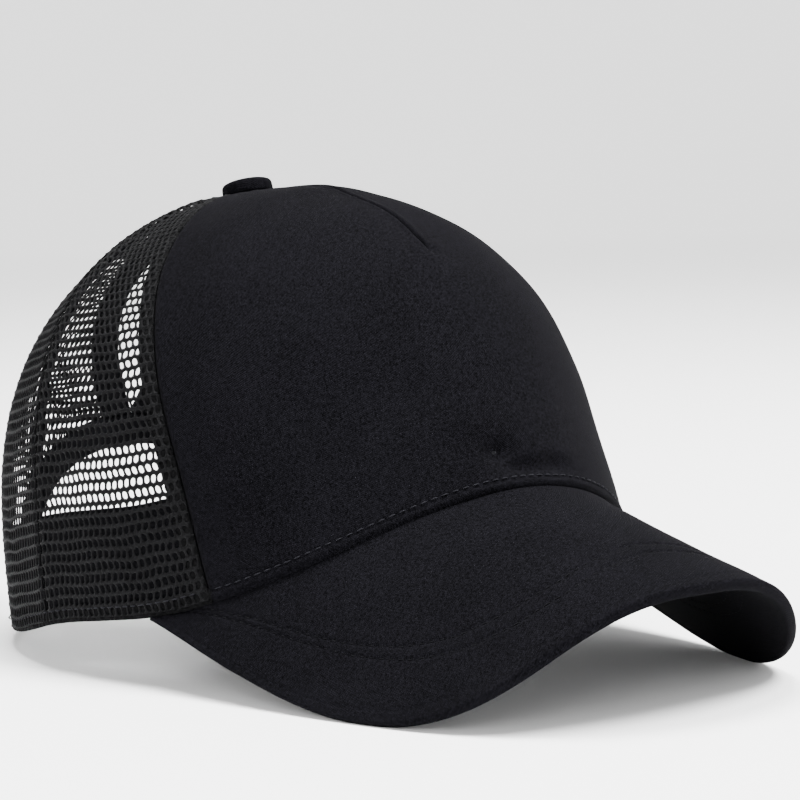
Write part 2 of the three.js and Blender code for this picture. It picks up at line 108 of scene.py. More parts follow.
def read_table(values, share, mirror=0):
    """A Catmull-Rom curve through evenly spaced values; past the end it runs on, or mirrors."""
    values = np.asarray(values, float)
    last = len(values) - 1
    place = np.clip(share, 0, 1) * last
    index = np.minimum(place.astype(int), last - 1)
    t = place - index
    after = mirror * values[-2] if mirror else 2 * values[-1] - values[-2]
    padded = np.concatenate([[2 * values[0] - values[1]], values, [after]])
    a, b, c, d = (padded[index + step] for step in range(4))
    rise, fall = (c - a) / 2, (d - b) / 2
    return (b * (2 * t**3 - 3 * t**2 + 1) + rise * (t**3 - 2 * t**2 + t)
            + c * (3 * t**2 - 2 * t**3) + fall * (t**3 - t**2))


def soften(values, share, spread):
    """Evenly spaced values read by straight lines, half from the place and half from its two sides."""
    steps = np.linspace(0, 1, len(values))
    beside = sum(np.interp(np.clip(share + move, 0, 1), steps, values) for move in (-spread, spread))
    return np.interp(share, steps, values) * 0.5 + 0.25 * beside


def rim_height(angle):
    """Rim: a squared cosine arch over the brim, and a small S-shaped drop to the back."""
    turn = np.abs(angle)
    arch = np.cos(np.minimum(turn / RIM_RISE_ANGLE, 1) * math.pi / 2) ** 2
    return RIM_RISE * arch - RIM_DROP * smooth(turn, RIM_DROP_FROM, RIM_DROP_TO)


def ring_axes(angle, share):
    """Half axes of the level ring: width times the side share, reach times the front or back one."""
    forward = np.cos(np.radians(angle)) > 0
    front = FRONT_REACH * read_table(PROFILE["front"], share, -1)
    back = BACK_REACH * read_table(PROFILE["back"], share, -1)
    side = HALF_WIDTH * read_table(PROFILE["side"], share, -1)
    return side, np.where(forward, front, back)


def crown_base(angle, share):
    """Plain crown: x = side sin a, y = set back - reach cos a, z = rim + (height - rim) rise."""
    side, reach = ring_axes(angle, share)
    rise = read_table(PROFILE["rise"], share, 1)
    rim = rim_height(angle)
    turn = np.radians(angle)
    return np.stack([side * np.sin(turn), BUTTON_SET_BACK * rise - reach * np.cos(turn),
                     rim + (HEIGHT - rim) * rise], -1)


def drop_beside(x, y):
    """How far the crown lies below its top at a place beside it, by halving the share."""
    low, high, angle = 0.5, 1.0, 0.0
    for _ in range(50):
        middle = (low + high) / 2
        side, reach = ring_axes(0.0 if y < 0 else 180.0, np.float64(middle))
        centre = BUTTON_SET_BACK * (read_table(PROFILE["rise"], np.float64(middle), 1) - 1)
        sideways, forward = x / side, (centre - y) / reach
        angle = math.degrees(math.atan2(sideways, forward))
        low, high = (low, middle) if math.hypot(sideways, forward) > 1 else (middle, high)
    return float(HEIGHT - crown_base(np.float64(angle), np.float64(low))[..., 2])


def unit(vectors):
    """Vectors divided by their lengths."""
    return vectors / np.maximum(np.linalg.norm(vectors, axis=-1, keepdims=True), 1e-9)


def crown_normal(angle, share):
    """The cross product of a small step round the crown and a small step up it."""
    around = crown_base(angle + 0.5, share) - crown_base(angle - 0.5, share)
    upward = crown_base(angle, share + 0.004) - crown_base(angle, share - 0.004)
    return unit(np.cross(around, upward))


def ring_speed(angle, share):
    """Millimetres round the ring for each degree: the ellipse's own rate."""
    side, reach = ring_axes(angle, share)
    turn = np.radians(angle)
    return np.radians(np.hypot(side * np.cos(turn), reach * np.sin(turn)))


def walk(start, arc, share, steps=12):
    """The angle reached from a start after an arc round the ring, by midpoint steps."""
    start, arc, share = np.broadcast_arrays(start, arc, share)
    step = arc / steps
    angle = start.astype(float)
    for _ in range(steps):
        halfway = angle + step / 2 / ring_speed(angle, share)
        angle = angle + step / ring_speed(halfway, share)
    return angle


def arc_between(start, end, share, steps=24):
    """The arc round the ring between two angles, by the midpoint rule."""
    start, end, share = np.broadcast_arrays(start, end, share)
    total = np.zeros(share.shape)
    for step in range(steps):
        total += ring_speed(mix(start, end, (step + 0.5) / steps), share) / steps
    return total * (end - start)


def seam_angle(name, share):
    """Angle of a seam at a share of the way up."""
    return read_table(SEAMS[name], share)


def relief(angle, share):
    """What the wall stands out: bells along the seams, less bells for the dents."""
    angle, share = np.broadcast_arrays(angle, share)
    turn = np.abs(angle)
    speed = ring_speed(angle, share)
    across = crown_base(angle, share)[..., 0]
    fade = 1 - smooth(share, RELIEF_TOP, CROWN_TOP)
    height = 0.5 * bell((turn - seam_angle("front", share)) * speed, 4) * fade
    height = height + 1.2 * bell((turn - seam_angle("side", share)) * speed, 7) * fade
    hollow = np.zeros(share.shape)
    for place, up, wide, tall, depth in DENTS:
        hollow += depth * bell(across - place, wide) * bell(share * WALL - up, tall)
    return height - np.where(turn > 90, 0, hollow)


def on_wall(angle, share, lift=0.0):
    """The crown's point, moved along its normal by the lift and the relief."""
    angle, share = np.broadcast_arrays(np.asarray(angle, float), np.asarray(share, float))
    out = np.asarray(lift + relief(angle, share))
    return crown_base(angle, share) + crown_normal(angle, share) * out[..., None]


def back_angle(across, share):
    """The angle that lies an arc across from the middle of the back."""
    turn = 180 - (walk(180.0, np.abs(across), share) - 180)
    return np.where(np.asarray(across) < 0, -turn, turn)


def on_back(across, up, lift=0.0):
    """A point of the flat pattern of the back, laid on the wall."""
    across, up = np.broadcast_arrays(np.asarray(across, float), np.asarray(up, float))
    return on_wall(back_angle(across, up / WALL), up / WALL, lift)


BACK_LINE = crown_base(np.full(65, 180.0), np.linspace(0, 1, 65))
WALL = float(np.linalg.norm(np.diff(BACK_LINE, axis=0), axis=1).sum())


def share_above(angle, up):
    """Share of the way up the wall at a height above the rim, less where the rim is high."""
    return up / WALL * HEIGHT / (HEIGHT - rim_height(angle))


def arch_point(share, distance):
    """The arch, a half ellipse, moved out along its normal."""
    turn = share * math.pi
    normal = unit(np.stack([np.cos(turn) / ARCH_HALF_WIDTH, np.sin(turn) / ARCH_HEIGHT], -1))
    return (ARCH_HALF_WIDTH * np.cos(turn) + distance * normal[..., 0],
            ARCH_HEIGHT * np.sin(turn) + distance * normal[..., 1])


def hole_width(along):
    """Half width of the leaf: two powers, one from each tip, that meet at its widest."""
    low = (np.maximum(along, 0) / HOLE_WIDEST) ** HOLE_TIP_POWER
    power = HOLE_TIP_POWER * (1 - HOLE_WIDEST) / HOLE_WIDEST
    return HOLE_HALF_WIDTH * low * (np.maximum(1 - along, 0) / (1 - HOLE_WIDEST)) ** power


def hole_point(share, distance):
    """The leaf's left edge, moved out along its normal and trimmed at the arch's binding."""
    along = (1 - np.cos(share * math.pi)) / 2
    step = mix(0.01, 0.00001, along)
    low, high = np.maximum(along - step, 0), np.minimum(along + step, 1)
    slope = unit(np.stack([hole_width(high) - hole_width(low), HOLE_LENGTH * (high - low)], -1))
    across = np.maximum(hole_width(along) + distance * slope[..., 1], 0.05)
    up = (ARCH_HEIGHT + BINDING_WIDTH + BINDING_GAP + HOLE_LENGTH * along
          - distance * slope[..., 0])
    line_across, line_up = arch_point(np.linspace(0.5, 0, 65), BINDING_WIDTH + BINDING_GAP)
    return across, np.maximum(up, np.interp(across, line_across, line_up))


def opening_edge(up, distance):
    """How far the openings' edges, moved out by a distance, stand off the middle of the back."""
    arch_across, arch_up = arch_point(np.linspace(0, 0.5, 129), distance)
    hole_across, hole_up = hole_point(np.linspace(0.02, 1, 129), distance)
    order = np.argsort(hole_up)
    arch = np.interp(up, arch_up, arch_across, right=0)
    hole = np.interp(up, hole_up[order], hole_across[order], left=0, right=0)
    return np.maximum(arch, hole)


def brim_outline(share):
    """Cubic Bezier of the brim's edge from the front, 0, to its corner, 1, in plan."""
    corner = crown_base(np.array(BRIM_ANGLE), np.array(0.0))
    toe = np.radians(BRIM_TOE_IN)
    front = -FRONT_REACH - BRIM_REACH
    knots = [np.array([0, front]), np.array([BRIM_FRONT_PULL, front]),
             corner[:2] - BRIM_SIDE_PULL * np.array([np.sin(toe), np.cos(toe)]), corner[:2]]
    t = np.asarray(share)[..., None]
    weights = [(1 - t) ** 3, 3 * (1 - t) ** 2 * t, 3 * (1 - t) * t**2, t**3]
    return sum(weight * knot for weight, knot in zip(weights, knots))


def brim_top(sideways, outward):
    """Straight lines from the rim to an outer edge that bends down as a power of its x."""
    sideways, outward = np.broadcast_arrays(np.asarray(sideways, float), np.asarray(outward, float))
    rim = on_wall(sideways * BRIM_ANGLE, np.zeros(sideways.shape), -1.2)
    rim[..., 2] -= 0.3
    share = np.abs(sideways)
    flat = brim_outline(share)
    slope = np.tan(np.radians(BRIM_SLOPE)) * (-flat[..., 1] - FRONT_REACH)
    height = RIM_RISE - slope - BRIM_BEND * (np.abs(flat[..., 0]) / HALF_WIDTH) ** BRIM_POWER
    blend = (np.maximum(share - BRIM_BLEND, 0) / (1 - BRIM_BLEND)) ** 2
    edge = np.stack([np.sign(sideways) * flat[..., 0], flat[..., 1],
                     mix(height, rim[..., 2], blend)], -1)
    return mix(rim, edge, outward[..., None])


def brim_row(sideways, step):
    """How far out a row of the brim's stitches lies: the outer row's table, less a step inward."""
    return np.interp(np.abs(sideways), *BRIM_ROW) - step


def brim_normal(sideways, outward):
    """Upward normal of the brim's top, from steps along and across it."""
    step = 0.02
    along = brim_top(sideways + step, outward) - brim_top(sideways - step, outward)
    across = brim_top(sideways, outward + step) - brim_top(sideways, outward - step)
    normal = unit(np.cross(along, across))
    return normal * np.where(normal[..., 2:] < 0, -1, 1)


def at_rest(points):
    """Cap frame to rest frame: tipped back about X, then shifted on to the floor, in metres."""
    c, s = math.cos(math.radians(REST_TIP)), math.sin(math.radians(REST_TIP))
    x, y, z = points[..., 0], points[..., 1], points[..., 2]
    return (np.stack([x, c * y + s * z, c * z - s * y], -1) + REST_SHIFT) * 0.001


def millimetres(value):
    """A size of the panel, kept in metres, as millimetres."""
    return value * 1000


def ripple(u, v, scale, seed):
    """Slow unevenness of sewn cloth, from -1 to 1: a sum of slanted sine waves of fixed phase."""
    rng = np.random.default_rng(seed)
    total = 0
    for _ in range(6):
        direction, size, phase = rng.uniform(0, math.pi), rng.uniform(0.6, 1.6), rng.uniform(0, 6.28)
        along = u * math.cos(direction) + v * math.sin(direction)
        total = total + np.sin(along * 2 * math.pi / (scale * size) + phase)
    return total / 4


def grid_faces(rows, columns, start=0, closed=False):
    """Quads between neighbours of a grid of points, row by row."""
    row, column = np.meshgrid(np.arange(rows - 1), np.arange(columns - (not closed)), indexing="ij")
    a, b = row * columns + column, row * columns + (column + 1) % columns
    return np.stack([a, b, b + columns, a + columns], -1).reshape(-1, 4) + start


def shell_faces(rows, columns):
    """Quads of a closed sheet: outer grid, inner grid turned over, and the four walls between."""
    count = rows * columns
    grid = np.arange(count).reshape(rows, columns)
    rim = np.concatenate([grid[0, :-1], grid[:-1, -1], grid[-1, :0:-1], grid[:0:-1, 0]])
    after = np.roll(rim, -1)
    walls = np.stack([after, rim, rim + count, after + count], -1)
    return np.concatenate([grid_faces(rows, columns), grid_faces(rows, columns, count)[:, ::-1], walls])


def loop_faces(stations, around):
    """Quads of a closed section carried along a path, with an end cap of triangles at each end."""
    sides = grid_faces(stations, around, closed=True)
    fan = np.arange(1, around - 1)
    last = (stations - 1) * around
    start = np.stack([0 * fan, fan + 1, fan], -1)
    return sides, np.concatenate([start, start[:, ::-1] + last])


def new_piece(name, points, faces, material, replaces=(), flat=None):
    """A mesh object of points in the cap's frame, its faces turned outward, its flat pattern as UV."""
    faces = [np.asarray(part) for part in (faces if isinstance(faces, tuple) else (faces,))]
    points = at_rest(np.asarray(points, float).reshape(-1, 3))
    volume = 0.0
    for part in faces:
        for second in range(1, part.shape[1] - 1):
            a, b, c = points[part[:, 0]], points[part[:, second]], points[part[:, second + 1]]
            volume += np.einsum("ij,ij->", a, np.cross(b, c))
    if volume < 0:
        faces = [part[:, ::-1] for part in faces]
    sizes = np.concatenate([np.full(len(part), part.shape[1]) for part in faces])
    corners = np.concatenate([part.ravel() for part in faces])
    mesh = bpy.data.meshes.new(name)
    mesh.vertices.add(len(points))
    mesh.vertices.foreach_set("co", points.ravel())
    mesh.loops.add(len(corners))
    mesh.loops.foreach_set("vertex_index", corners.astype(np.int32))
    mesh.polygons.add(len(sizes))
    mesh.polygons.foreach_set("loop_start", np.concatenate([[0], np.cumsum(sizes)[:-1]]).astype(np.int32))
    mesh.polygons.foreach_set("loop_total", sizes.astype(np.int32))
    mesh.polygons.foreach_set("use_smooth", np.ones(len(sizes), bool))
    if flat is not None:
        layer = mesh.uv_layers.new(name="UVMap")
        pattern = np.asarray(flat, float).reshape(-1, 2)[corners] * 0.01
        layer.data.foreach_set("uv", pattern.ravel())
    mesh.update()
    mesh.validate()
    mesh.materials.append(material)
    piece = bpy.data.objects.new(name, mesh)
    bpy.context.scene.collection.objects.link(piece)
    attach(piece, "root")
    if replaces:
        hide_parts(*replaces)
    return piece


def tape_section(points=28, edge=0.4, crown=0.6):
    """A soft flat section: a superellipse of across, -1 to 1, and lift, -1 to 1."""
    turn = np.arange(points) / points * 2 * math.pi
    c, s = np.cos(turn), np.sin(turn)
    return np.sign(c) * np.abs(c) ** edge, np.sign(s) * np.abs(s) ** crown


def tape(name, place, low, high, lift, thickness, finish, replaces=(), grooves=(), section=None):
    """A tape along a path: place(station, across, lift) carries the section from low to high."""
    across, rise = section or tape_section()
    low, high = np.asarray(low, float), np.asarray(high, float)
    lift = np.broadcast_to(np.asarray(lift, float), low.shape)
    thickness = np.broadcast_to(np.asarray(thickness, float), low.shape)
    station = np.arange(len(low))[:, None] + np.zeros(len(across), int)
    reach = mix(low[:, None], high[:, None], (across[None] + 1) / 2)
    height = lift[:, None] + thickness[:, None] * rise[None] / 2
    for edge, depth, width in grooves:
        from_edge = np.where(edge >= 0, reach - low[:, None] - edge, high[:, None] - reach + edge)
        height = height - depth * np.sign(rise[None]) * bell(from_edge, width)
    points = place(station, reach, height)
    flat = np.stack([station * 2.0, reach], -1)
    material, slot = finish
    return new_piece(name, points, loop_faces(len(low), len(across)), material, replaces, flat)


def read_path(values, distance, where):
    """Each column of values, read by straight lines at distances along a path."""
    return np.stack([np.interp(where, distance, column) for column in values.T], -1)


def sew(name, lines, length=2.1, finish="cap_thread", finer=1.0):
    """Rows of stitches: each a small arched bead whose ends dip into the cloth as a square, laid at
    even pitch. A line is an array of points and one of outward normals."""
    sizes = bpy.context.scene.cap_sizes
    pitch, thread = millimetres(sizes.stitch_pitch), millimetres(sizes.thread) * finer
    around, along = 6, 5
    turn = np.arange(around) / around * 2 * math.pi
    t = np.linspace(-1, 1, along)
    radius = thread / 2 * np.sqrt(np.maximum(1 - t**4, 0.05))
    bead_along = (t * length / 2)[:, None] + 0 * turn
    bead_side = radius[:, None] * np.cos(turn)
    bead_up = radius[:, None] * np.sin(turn) - (0.3 * t**2)[:, None] + 0.06
    every_point, every_quad, every_fan, start = [], [], [], 0
    quads, fans = loop_faces(along, around)
    for points, normals in lines:
        steps = np.linalg.norm(np.diff(points, axis=0), axis=1)
        distance = np.concatenate([[0], np.cumsum(steps)])
        count = max(int(distance[-1] / pitch), 1)
        centres = (np.arange(count) + 0.5) * distance[-1] / count
        place, up = read_path(points, distance, centres), unit(read_path(normals, distance, centres))
        before, after = (read_path(points, distance, centres + step) for step in (-0.3, 0.3))
        ahead = unit(after - before)
        side = np.cross(up, ahead)
        beads = place[:, None, None]
        for direction, reach in ((ahead, bead_along), (side, bead_side), (up, bead_up)):
            beads = beads + direction[:, None, None] * reach[None, ..., None]
        size = along * around
        shift = start + np.arange(count)[:, None, None] * size
        every_point.append(beads.reshape(-1, 3))
        every_quad.append((quads[None] + shift).reshape(-1, 4))
        every_fan.append((fans[None] + shift).reshape(-1, 3))
        start += count * size
    faces = (np.concatenate(every_quad), np.concatenate(every_fan))
    return new_piece(name, np.concatenate(every_point), faces, finishes()[finish])


def seam_line(angle, share, lift):
    """Points and outward normals of a line on the wall, for stitches."""
    angle, share = np.broadcast_arrays(np.asarray(angle, float), np.asarray(share, float))
    return on_wall(angle, share, lift), crown_normal(angle, share)


def back_line(across, up, lift):
    """Points and outward normals of a line on the back's flat pattern."""
    across, up = np.broadcast_arrays(np.asarray(across, float), np.asarray(up, float))
    angle = back_angle(across, up / WALL)
    return on_wall(angle, up / WALL, lift), crown_normal(angle, up / WALL)


class Sum:
    """Shader maths: a socket whose operators add Math nodes to its material."""

    def __init__(self, paint, socket):
        self.paint, self.socket = paint, socket

    def maths(self, operation, *values):
        return self.paint.node("ShaderNodeMath", {"operation": operation}, dict(enumerate(values)))

    def __add__(self, other):
        return self.maths("ADD", self, other)

    def __radd__(self, other):
        return self.maths("ADD", other, self)

    def __sub__(self, other):
        return self.maths("SUBTRACT", self, other)

    def __rsub__(self, other):
        return self.maths("SUBTRACT", other, self)

    def __mul__(self, other):
        return self.maths("MULTIPLY", self, other)

    def __rmul__(self, other):
        return self.maths("MULTIPLY", other, self)

    def wave(self):
        return self.maths("SINE", self)


class Paint:
    """A material under construction: node() adds any node and returns its chosen output."""

    def __init__(self, name):
        self.material = bpy.data.materials.new(name)
        self.material.use_nodes = True
        self.tree = self.material.node_tree
        self.shader = self.tree.nodes["Principled BSDF"]

    def node(self, kind, settings=None, inputs=None, output=0):
        made = self.tree.nodes.new(kind)
        for key, value in (settings or {}).items():
            setattr(made, key, value)
        for key, value in (inputs or {}).items():
            self.feed(made.inputs[key], value)
        return Sum(self, made.outputs[output])

    def feed(self, target, value):
        if isinstance(value, Sum):
            self.tree.links.new(value.socket, target)
        else:
            target.default_value = value

    def finish(self, **sockets):
        for key, value in sockets.items():
            self.feed(self.shader.inputs[key.replace("_", " ")], value)
        return self.material

    def noise(self, where, scale, detail=2.0, roughness=0.5):
        return self.node("ShaderNodeTexNoise", {}, {"Vector": where, "Scale": scale, "Detail": detail,
                                                    "Roughness": roughness})

    def blend(self, low, high, part):
        return self.node("ShaderNodeMix", {"data_type": "RGBA"}, {0: part, 6: low, 7: high}, 2)

    def bump(self, height, strength, distance):
        inputs = {"Height": height, "Strength": strength, "Distance": distance}
        return self.node("ShaderNodeBump", {}, inputs)

    def clamp(self, value):
        return self.node("ShaderNodeClamp", {}, {0: value})

    def place(self):
        """Object coordinates, in metres."""
        return self.node("ShaderNodeTexCoord", output=3)

    def pattern(self):
        """The two coordinates of the flat pattern, one unit for each 100 mm of cloth."""
        first = self.node("ShaderNodeSeparateXYZ", {}, {0: self.node("ShaderNodeTexCoord", output=2)})
        return first, Sum(self, first.socket.node.outputs[1])

    def rib(self, along, pitch):
        """A sine wave from 0 to 1 along the flat pattern, its pitch in millimetres."""
        return (along * (2 * math.pi * 100 / pitch)).wave() * 0.5 + 0.5


def tone(colour, factor):
    """A colour made darker or lighter, opaque."""
    return tuple(channel * factor for channel in colour[:3]) + (1.0,)


def twill(name, colour):
    """Cotton twill on the flat pattern: fine slanted ribs, yarn speckle and slow fading."""
    paint = Paint(name)
    across, up = paint.pattern()
    place = paint.place()
    yarn = paint.noise(place, 2400.0, 2.0, 0.6)
    patch = paint.noise(place, 38.0, 3.0, 0.55)
    speck = paint.noise(place, 1250.0, 2.0, 0.7)
    rib = paint.rib(across + up * 0.9, 0.62)
    warp = paint.rib(across - up * 0.35, 0.4)
    shade = paint.clamp(patch * 0.4 + yarn * 1.9 + speck * 1.6 + rib * 0.12 - 1.56)
    base = paint.blend(tone(colour, 0.3), tone(colour, 2.1), shade)
    weave = rib * 0.7 + warp * 0.35 + yarn * 0.8 + speck * 0.6
    normal = paint.bump(weave, 0.55, 0.00012)
    return paint.finish(Base_Color=base, Roughness=speck * 0.12 + 0.82, Normal=normal,
                        Sheen_Weight=0.004, Sheen_Roughness=0.45, Specular_IOR_Level=0.01)


def thread_cloth(name, colour, roughness, grain=1800.0, contrast=1.0, shine=0.04):
    """Tape, thread or net yarn: short fibres as fine noise in colour and bump, with random mottling and a
    painted highlight where the bump stands high.
    """
    paint = Paint(name)
    place = paint.place()
    fibre = paint.noise(place, grain, 3.0, 0.6)
    slow = paint.noise(place, 120.0, 2.0, 0.5)
    # Colour rides on the fibre noise that also raises the bump: random mottling, and a painted highlight on
    # the fibres' tops.
    shade = paint.clamp(fibre * contrast + slow * 0.5 + (0.25 - contrast / 2))
    base = paint.blend(tone(colour, 0.5), tone(colour, 1.7), shade)
    normal = paint.bump(fibre, 0.6, 0.00012 * contrast)
    return paint.finish(Base_Color=base, Roughness=fibre * 0.15 + (roughness - 0.07), Normal=normal,
                        Sheen_Weight=0.003, Sheen_Roughness=0.5, Specular_IOR_Level=shine)


def woven_tape(name, colour, pitch=0.9):
    """Woven tape on the flat pattern: ribs across its run, crossed by finer yarns."""
    paint = Paint(name)
    along, across = paint.pattern()
    place = paint.place()
    fibre = paint.noise(place, 2200.0, 3.0, 0.6)
    slow = paint.noise(place, 60.0, 2.0, 0.5)
    rib, pick = paint.rib(along, pitch), paint.rib(across, pitch * 0.6)
    shade = paint.clamp(fibre * 0.8 + slow * 0.5 + rib * 0.15 - 0.25)
    base = paint.blend(tone(colour, 0.6), tone(colour, 1.6), shade)
    normal = paint.bump(rib * 0.6 + pick * 0.4 + fibre * 0.6, 0.5, 0.0001)
    return paint.finish(Base_Color=base, Roughness=fibre * 0.1 + 0.8, Normal=normal, Sheen_Weight=0.003,
                        Sheen_Roughness=0.5, Specular_IOR_Level=0.03)


class CapSizes(bpy.types.PropertyGroup):
    """Sizes of the net, the tapes and the stitches."""

    hole_pitch: bpy.props.FloatProperty(
        name="Hole pitch", description="From one hole of the net to the next, along a row",
        default=0.0023, unit="LENGTH")
    row_pitch: bpy.props.FloatProperty(
        name="Row pitch", description="From one row of the net's holes to the next",
        default=0.00305, unit="LENGTH")
    hole_width: bpy.props.FloatProperty(
        name="Hole width", description="Width of a hole of the net", default=0.0015, unit="LENGTH")
    hole_height: bpy.props.FloatProperty(
        name="Hole height", description="Height of a hole of the net", default=0.00215, unit="LENGTH")
    strip_width: bpy.props.FloatProperty(
        name="Strip width", description="Width of the folded net beside the front panel",
        default=0.0056, unit="LENGTH")
    stitch_pitch: bpy.props.FloatProperty(
        name="Stitch pitch", description="From one stitch to the next", default=0.0029, unit="LENGTH")
    thread: bpy.props.FloatProperty(
        name="Thread", description="Thickness of the sewing thread", default=0.00034, unit="LENGTH")
    button_radius: bpy.props.FloatProperty(
        name="Button radius", description="Radius of the covered button", default=0.0074, unit="LENGTH")


class CapColours(bpy.types.PropertyGroup):
    """Colours of the cap and its studio."""

    cloth: bpy.props.FloatVectorProperty(
        name="Cloth", description="Colour of the front panel, brim and button", subtype="COLOR",
        default=(0.0024, 0.0023, 0.003))
    net: bpy.props.FloatVectorProperty(
        name="Net", description="Colour of the net's yarn", subtype="COLOR",
        default=(0.0036, 0.0036, 0.0039))
    tape: bpy.props.FloatVectorProperty(
        name="Tape", description="Colour of the bindings, strap and band", subtype="COLOR",
        default=(0.0042, 0.0042, 0.005))
    thread: bpy.props.FloatVectorProperty(
        name="Thread", description="Colour of the sewing thread", subtype="COLOR",
        default=(0.0085, 0.0084, 0.0105))
    floor: bpy.props.FloatVectorProperty(
        name="Floor", description="Colour of the floor and backdrop", subtype="COLOR",
        default=(0.92, 0.92, 0.92))


class CapView(bpy.types.PropertyGroup):
    """Where the camera stands."""

    azimuth: bpy.props.FloatProperty(
        name="Azimuth", description="Turn of the camera from straight in front",
        default=math.radians(-36.09), subtype="ANGLE")
    elevation: bpy.props.FloatProperty(
        name="Elevation", description="Angle of the camera above the floor",
        default=math.radians(5.093), subtype="ANGLE")
    roll: bpy.props.FloatProperty(
        name="Roll", description="Turn of the camera about its line of sight",
        default=math.radians(-1.618), subtype="ANGLE")
    distance: bpy.props.FloatProperty(
        name="Distance", description="From the camera to the point it looks at",
        default=0.79, unit="LENGTH")
    focal: bpy.props.FloatProperty(
        name="Focal length", description="Focal length on a sensor 36 mm wide, in millimetres",
        default=124.85)


def finishes():
    """The materials, made once."""
    colours = bpy.context.scene.cap_colours
    if "cap_twill" not in bpy.data.materials:
        twill("cap_twill", colours.cloth)
        thread_cloth("cap_net", colours.net, 0.6, 1500.0, 3.0, 0.03)
        # The folded net is the net's yarn colour halved: painted shade of its folded layers.
        thread_cloth("cap_folded_net_painted_shade", tone(colours.net, 0.5), 0.7, 1000.0, 3.0, 0.02)
        woven_tape("cap_tape", colours.tape)
        woven_tape("cap_band", colours.tape, 1.4)
        thread_cloth("cap_thread", colours.thread, 0.6, 3000.0)
        thread_cloth("cap_dark_thread", tone(colours.thread, 0.35), 0.8, 3000.0)
    return bpy.data.materials


def net_cells(name, side, middle, low, high, replaces):
    """Net on one panel. Holes stand in bricks on the flat pattern, each a slanted rounded oval in a
    cell of twelve edge points; rings of points carry the yarn's round section from the cell's edge
    down into the hole and back on the inside. Cells are cut off at the low and high seams."""
    sizes = bpy.context.scene.cap_sizes
    px, py = millimetres(sizes.hole_pitch), millimetres(sizes.row_pitch)
    rx, ry = millimetres(sizes.hole_width) / 2, millimetres(sizes.hole_height) / 2
    rows = int(CROWN_TOP * WALL / py)
    py = CROWN_TOP * WALL / rows
    i, j = (part.ravel() for part in np.meshgrid(np.arange(-45, 46), np.arange(rows)))
    x, y = (i + 0.5 * (j % 2)) * px, (j + 0.5) * py
    share = y / WALL
    keep = (x > low(share) - 0.1 * px) & (x < high(share) + 0.1 * px)
    x, y, j = x[keep], y[keep], j[keep]
    edge_x = np.array([1, 1, 1, 1, 1, 0, -1, -1, -1, -1, -1, 0]) * 0.5
    edge_y = np.array([-1, -0.5, 0, 0.5, 1, 1, 1, 0.5, 0, -0.5, -1, -1]) * 0.5
    turn = np.arctan2(edge_y, edge_x)
    c, s = np.cos(turn), np.sin(turn)
    oval = (np.abs(c) ** 2.4 + np.abs(s) ** 2.4) ** (-1 / 2.4)
    slant = np.where(j % 2 == 0, 0.2, -0.2)[:, None]
    rim_x, rim_y = edge_x * px + 0 * slant, edge_y * py + 0 * slant
    hole_y = s * oval * ry + 0 * slant
    hole_x = c * oval * rx + slant * hole_y
    thick = np.where(np.abs(edge_y) == 0.5, 0.13, 0.0) + np.where(edge_x == 0, 0.07, 0.0) + 0 * slant
    ring = lambda part: (mix(rim_x, hole_x, part), mix(rim_y, hole_y, part))
    level = 0 * rim_x
    layers = [(*ring(0), thick), (*ring(0.6), level - 0.06), (*ring(1), level - 0.26),
              (*ring(0), -0.48 - thick)]
    depth = len(layers)
    u = np.stack([x[:, None] + part[0] for part in layers], 1)
    v = np.stack([y[:, None] + part[1] for part in layers], 1)
    lift = np.stack([part[2] for part in layers], 1) - 0.15
    pulled_u = u + 0.22 * ripple(u, v, 11, 7) + 0.1 * ripple(u, v, 3.7, 8)
    pulled_v = v + 0.3 * ripple(u, v, 14, 9) + 0.1 * ripple(u, v, 4.3, 10)
    share = np.clip(np.maximum(pulled_v, 0.02) / WALL, 0, CROWN_TOP)
    low_edge, high_edge = low(share), high(share)
    pulled_u = np.clip(pulled_u, low_edge, high_edge)
    closeness = np.minimum(pulled_u - low_edge, high_edge - pulled_u)
    lift = lift - 0.35 * bell(closeness, 1.2) + 0.06 * ripple(u, v, 9, 11)
    angle = side * walk(middle(share), pulled_u, share)
    points = on_wall(angle, share, lift)
    cells = len(x)
    base = np.arange(cells)[:, None, None] * 12 * depth
    level = (np.arange(depth - 1) * 12)[None, :, None]
    k = np.arange(12)[None, None]
    after = (k + 1) % 12
    upper, lower = base + level, base + level + 12
    faces = np.stack([upper + k, upper + after, lower + after, lower + k], -1)
    points, faces = points.reshape(-1, 3), faces.reshape(-1, 4)
    layer = np.tile(np.repeat(np.arange(depth), 12), cells)
    keys = np.stack([np.round(u.ravel() * 50), np.round(v.ravel() * 50), layer], -1).astype(np.int64)
    alone = (layer > 0) & (layer < depth - 1)
    keys[alone, 2] = 10 + np.arange(alone.sum())
    _, first, back = np.unique(keys, axis=0, return_index=True, return_inverse=True)
    back = back.ravel()
    points, faces = points[first], back[faces]
    top_ring, bottom_ring = back.reshape(cells, depth, 12)[:, 0], back.reshape(cells, depth, 12)[:, -1]
    a, b = top_ring.ravel(), np.roll(top_ring, -1, 1).ravel()
    under_a, under_b = bottom_ring.ravel(), np.roll(bottom_ring, -1, 1).ravel()
    pair = np.sort(np.stack([a, b], -1), 1)
    _, inverse, count = np.unique(pair, axis=0, return_inverse=True, return_counts=True)
    lone = count[inverse.ravel()] == 1
    walls = np.stack([b[lone], a[lone], under_a[lone], under_b[lone]], -1)
    faces = np.concatenate([faces, walls])
    return new_piece(name, points, faces, finishes()["cap_net"], replaces)


